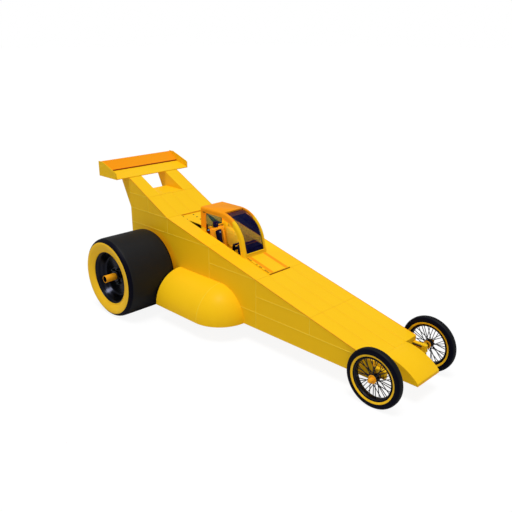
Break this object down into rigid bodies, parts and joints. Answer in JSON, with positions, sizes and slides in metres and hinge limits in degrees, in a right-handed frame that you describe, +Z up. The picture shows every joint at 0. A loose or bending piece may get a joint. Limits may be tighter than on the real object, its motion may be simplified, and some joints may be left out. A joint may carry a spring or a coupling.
{
  "type": "drag racing car",
  "caption": "Long wedge-bodied drag racing car with a rear wing, side pods, small canopy, wide rear slicks and wire-spoked front wheels.",
  "frame": {"origin": "on the ground, midway along the car's length, on its centre plane", "axes": "+X forward, +Y to the driver's left, +Z up"},
  "size_m": [4.82, 2.38, 1.81],
  "materials": {
    "yellow": "gloss",
    "orange": "gloss",
    "pad": "matte",
    "iron": "matte",
    "steel": "satin",
    "dark_rim": "gloss",
    "tyre": "matte",
    "trim": "satin",
    "glass": "gloss"
  },
  "bodies": {
    "chassis": {"belly_pan": "yellow", "side_front_left": "yellow", "side_front_right": "yellow", "side_rear_left": "yellow", "side_rear_right": "yellow", "hood": "yellow", "tail_deck": "yellow", "fins": "yellow", "cell_sides": "yellow", "engine_cover": "yellow", "cowl": "yellow", "bulkheads": "yellow", "nose": "yellow", "pods": "yellow", "wing_end_plates": "yellow", "wing_plane": "yellow", "wing_flap": "orange", "seat_shell": "orange", "seat_pad": "pad", "headrest": "pad", "dash": "trim", "steering_yoke": "trim", "engine": "iron", "rear_axle_housing": "iron", "front_arms": "yellow", "front_rods": "steel"},
    "canopy": {"canopy_hood": "orange", "canopy_front_frame": "yellow", "canopy_base": "yellow", "windscreen": "glass", "side_window": "glass", "rear_window": "glass"},
    "lid": {"cowl_lid": "yellow"},
    "rear_axle": {"rear_axle_shaft": "steel", "rear_hub_stubs": "orange", "rear_rims": "dark_rim", "rear_tyres": "tyre"},
    "knuckle_left": {"knuckle_left": "steel"},
    "knuckle_right": {"knuckle_right": "steel"},
    "front_wheel_left": {"front_wheel_left": "dark_rim", "front_tyre_left": "tyre", "front_hub_trim_left": "orange"},
    "front_wheel_right": {"front_wheel_right": "dark_rim", "front_tyre_right": "tyre", "front_hub_trim_right": "orange"}
  },
  "joints": [
    {"name": "rear_axle_spin", "type": "hinge", "parent": "chassis", "child": "rear_axle", "pos_m": [-1.5, 0, 0.51], "axis": [0, 1, 0], "continuous": true},
    {"name": "steer_left", "type": "hinge", "parent": "chassis", "child": "knuckle_left", "pos_m": [2.1, 0.425, 0.31], "axis": [0, 0, 1], "range_deg": [-10, 10]},
    {"name": "steer_right", "type": "hinge", "parent": "chassis", "child": "knuckle_right", "pos_m": [2.1, -0.425, 0.31], "axis": [0, 0, 1], "range_deg": [-10, 10]},
    {"name": "front_spin_left", "type": "hinge", "parent": "knuckle_left", "child": "front_wheel_left", "pos_m": [2.1, 0.5, 0.31], "axis": [0, 1, 0], "continuous": true},
    {"name": "front_spin_right", "type": "hinge", "parent": "knuckle_right", "child": "front_wheel_right", "pos_m": [2.1, -0.5, 0.31], "axis": [0, 1, 0], "continuous": true},
    {"name": "canopy_hinge", "type": "hinge", "parent": "chassis", "child": "canopy", "pos_m": [-0.78, 0, 1.105], "axis": [0, -1, 0], "range_deg": [0, 50]},
    {"name": "lid_hinge", "type": "hinge", "parent": "chassis", "child": "lid", "pos_m": [0.396, 0, 0.811], "axis": [0, 1, 0], "range_deg": [0, 60]}
  ],
  "couplings": [
    {"joint": "steer_right", "follows": "steer_left", "ratio": 1}
  ]
}
